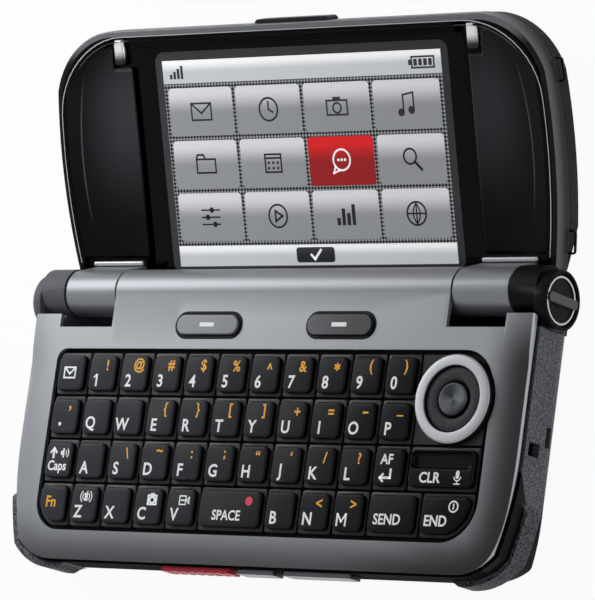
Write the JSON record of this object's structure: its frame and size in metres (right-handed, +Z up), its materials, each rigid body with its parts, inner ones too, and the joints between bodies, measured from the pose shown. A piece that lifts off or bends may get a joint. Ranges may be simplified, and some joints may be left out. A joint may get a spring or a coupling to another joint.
{
  "type": "flip phone",
  "caption": "Rugged clamshell phone stored open: keyboard base with navigation ring and front keys, hinged lid with a wide display, removable battery cover.",
  "frame": {"origin": "on the underside, below the middle of the keyboard base, on the battery cover", "axes": "+X along the hinge to the navigation ring, +Y from the front edge to the hinge, +Z up"},
  "size_m": [0.1241, 0.107, 0.0217],
  "materials": {
    "gunmetal": "satin metallic paint",
    "shell_black": "spark-eroded texture",
    "seal_black": "matte",
    "bumper_black": "spark-eroded texture",
    "frame_black": "matte",
    "key_black": "satin with printed legends",
    "soft_key_grey": "satin metallic paint",
    "ring_silver": "satin",
    "pad_dark": "fine texture",
    "select_metal": "spun",
    "push_red": "gloss",
    "edge_chrome": "satin plating",
    "lid_grey": "satin metallic paint",
    "bezel_black": "gloss",
    "lid_shell": "spark-eroded texture",
    "lip_grey": "satin",
    "insert_grey": "satin",
    "window_glass": "polished",
    "display": "lit panel",
    "cap_black": "satin",
    "lock_grey": "satin",
    "steel": "plain",
    "weight_metal": "plain",
    "contact_metal": "plated",
    "board_green": "solder mask",
    "dome_film": "film",
    "battery_grey": "shrink sleeve",
    "capsule_black": "moulded"
  },
  "bodies": {
    "base": {"base_housing": "shell_black", "base_panel": "gunmetal", "panel_gasket": "seal_black", "corner_bumpers": "bumper_black", "battery": "battery_grey", "battery_contacts": "contact_metal", "main_board": "board_green", "shield_cans": "steel", "dome_sheet": "dome_film", "key_frame": "frame_black", "charge_connector": "steel", "camera_module": "capsule_black", "camera_window": "window_glass", "loudspeaker": "capsule_black", "microphone": "capsule_black", "vibration_motor": "steel", "antenna": "contact_metal", "base_screws": "steel", "hinge_pins": "steel", "hinge_end_cap": "cap_black", "flex_cable": "dome_film"},
    "lid": {"lid_chassis": "lid_grey", "lid_bezel": "bezel_black", "lid_cover": "lid_shell", "thumb_lip": "lip_grey", "notch_inserts": "insert_grey", "guard_loops": "bumper_black", "display_window": "window_glass", "display_module": "display", "outer_window": "window_glass", "outer_display": "display", "earpiece": "capsule_black", "lid_board": "board_green", "lid_screws": "steel", "hinge_cartridge": "steel"},
    "message_key": {"message_key": "key_black"},
    "period_key": {"period_key": "key_black"},
    "caps_key": {"caps_key": "key_black"},
    "function_key": {"function_key": "key_black"},
    "enter_key": {"enter_key": "key_black"},
    "clear_key": {"clear_key": "key_black"},
    "space_key": {"space_key": "key_black"},
    "send_key": {"send_key": "key_black"},
    "end_key": {"end_key": "key_black"},
    "number_keys": {"number_keys": "key_black"},
    "upper_letter_keys": {"upper_letter_keys": "key_black"},
    "home_letter_keys": {"home_letter_keys": "key_black"},
    "lower_letter_keys": {"lower_letter_keys": "key_black"},
    "soft_key_left": {"soft_key_left": "soft_key_grey"},
    "soft_key_right": {"soft_key_right": "soft_key_grey"},
    "nav_ring": {"nav_ring": "ring_silver"},
    "nav_pad": {"nav_pad": "pad_dark"},
    "select_key": {"select_key": "select_metal"},
    "push_key": {"push_key": "push_red"},
    "camera_key": {"camera_key": "edge_chrome"},
    "volume_rocker": {"volume_rocker": "edge_chrome"},
    "port_cover": {"port_cover": "shell_black"},
    "battery_cover": {"battery_cover": "shell_black"},
    "battery_lock": {"battery_lock": "lock_grey"},
    "vibration_weight": {"vibration_weight": "weight_metal"}
  },
  "joints": [
    {"name": "lid_hinge", "type": "hinge", "parent": "base", "child": "lid", "pos_m": [0, 0.025, 0.0084], "axis": [1, 0, 0], "range_deg": [0, 159.1]},
    {"name": "message_key_press", "type": "slide", "parent": "base", "child": "message_key", "axis": [0, 0, -1], "range_m": [0, 0.0004], "stiffness_N_per_m": 1500},
    {"name": "period_key_press", "type": "slide", "parent": "base", "child": "period_key", "axis": [0, 0, -1], "range_m": [0, 0.0004], "stiffness_N_per_m": 1500},
    {"name": "caps_key_press", "type": "slide", "parent": "base", "child": "caps_key", "axis": [0, 0, -1], "range_m": [0, 0.0004], "stiffness_N_per_m": 1500},
    {"name": "function_key_press", "type": "slide", "parent": "base", "child": "function_key", "axis": [0, 0, -1], "range_m": [0, 0.0004], "stiffness_N_per_m": 1500},
    {"name": "enter_key_press", "type": "slide", "parent": "base", "child": "enter_key", "axis": [0, 0, -1], "range_m": [0, 0.0004], "stiffness_N_per_m": 1500},
    {"name": "clear_key_press", "type": "slide", "parent": "base", "child": "clear_key", "axis": [0, 0, -1], "range_m": [0, 0.0004], "stiffness_N_per_m": 1500},
    {"name": "space_key_press", "type": "slide", "parent": "base", "child": "space_key", "axis": [0, 0, -1], "range_m": [0, 0.0004], "stiffness_N_per_m": 1500},
    {"name": "send_key_press", "type": "slide", "parent": "base", "child": "send_key", "axis": [0, 0, -1], "range_m": [0, 0.0004], "stiffness_N_per_m": 1500},
    {"name": "end_key_press", "type": "slide", "parent": "base", "child": "end_key", "axis": [0, 0, -1], "range_m": [0, 0.0004], "stiffness_N_per_m": 1500},
    {"name": "number_keys_press", "type": "slide", "parent": "base", "child": "number_keys", "axis": [0, 0, -1], "range_m": [0, 0.0004], "stiffness_N_per_m": 1500},
    {"name": "upper_letter_keys_press", "type": "slide", "parent": "base", "child": "upper_letter_keys", "axis": [0, 0, -1], "range_m": [0, 0.0004], "stiffness_N_per_m": 1500},
    {"name": "home_letter_keys_press", "type": "slide", "parent": "base", "child": "home_letter_keys", "axis": [0, 0, -1], "range_m": [0, 0.0004], "stiffness_N_per_m": 1500},
    {"name": "lower_letter_keys_press", "type": "slide", "parent": "base", "child": "lower_letter_keys", "axis": [0, 0, -1], "range_m": [0, 0.0004], "stiffness_N_per_m": 1500},
    {"name": "soft_key_left_press", "type": "slide", "parent": "base", "child": "soft_key_left", "axis": [0, 0, -1], "range_m": [0, 0.0004], "stiffness_N_per_m": 1500},
    {"name": "soft_key_right_press", "type": "slide", "parent": "base", "child": "soft_key_right", "axis": [0, 0, -1], "range_m": [0, 0.0004], "stiffness_N_per_m": 1500},
    {"name": "nav_ring_tilt", "type": "hinge", "parent": "base", "child": "nav_ring", "pos_m": [0.04427, 0.00378, 0.0113], "axis": [1, 0, 0], "range_deg": [-1.5, 1.5], "stiffness_Nm_per_rad": 0.15},
    {"name": "nav_pad_tilt", "type": "hinge", "parent": "nav_ring", "child": "nav_pad", "pos_m": [0.04427, 0.00378, 0.0113], "axis": [0, 1, 0], "range_deg": [-1.5, 1.5], "stiffness_Nm_per_rad": 0.15},
    {"name": "select_key_press", "type": "slide", "parent": "base", "child": "select_key", "axis": [0, 0, -1], "range_m": [0, 0.0004], "stiffness_N_per_m": 1500},
    {"name": "push_key_press", "type": "slide", "parent": "base", "child": "push_key", "axis": [0, 1, 0], "range_m": [0, 0.0004], "stiffness_N_per_m": 1500},
    {"name": "camera_key_press", "type": "slide", "parent": "base", "child": "camera_key", "axis": [0, 1, 0], "range_m": [0, 0.0004], "stiffness_N_per_m": 1500},
    {"name": "volume_rocker_tilt", "type": "hinge", "parent": "base", "child": "volume_rocker", "pos_m": [0.016, -0.0268, 0.0087], "axis": [0, 0, 1], "range_deg": [-1, 1], "stiffness_Nm_per_rad": 0.15},
    {"name": "port_cover_swing", "type": "hinge", "parent": "base", "child": "port_cover", "pos_m": [-0.06135, 0, 0.0059], "axis": [0, 0, -1], "range_deg": [0, 110]},
    {"name": "battery_cover_lift", "type": "slide", "parent": "base", "child": "battery_cover", "axis": [0, 0, -1], "range_m": [0, 0.006]},
    {"name": "battery_lock_turn", "type": "hinge", "parent": "battery_cover", "child": "battery_lock", "pos_m": [0.024, -0.00345, 0], "axis": [0, 0, 1], "range_deg": [0, 90]},
    {"name": "vibration_weight_spin", "type": "hinge", "parent": "base", "child": "vibration_weight", "pos_m": [0.04415, 0.009, 0.0038], "axis": [1, 0, 0], "continuous": true}
  ]
}
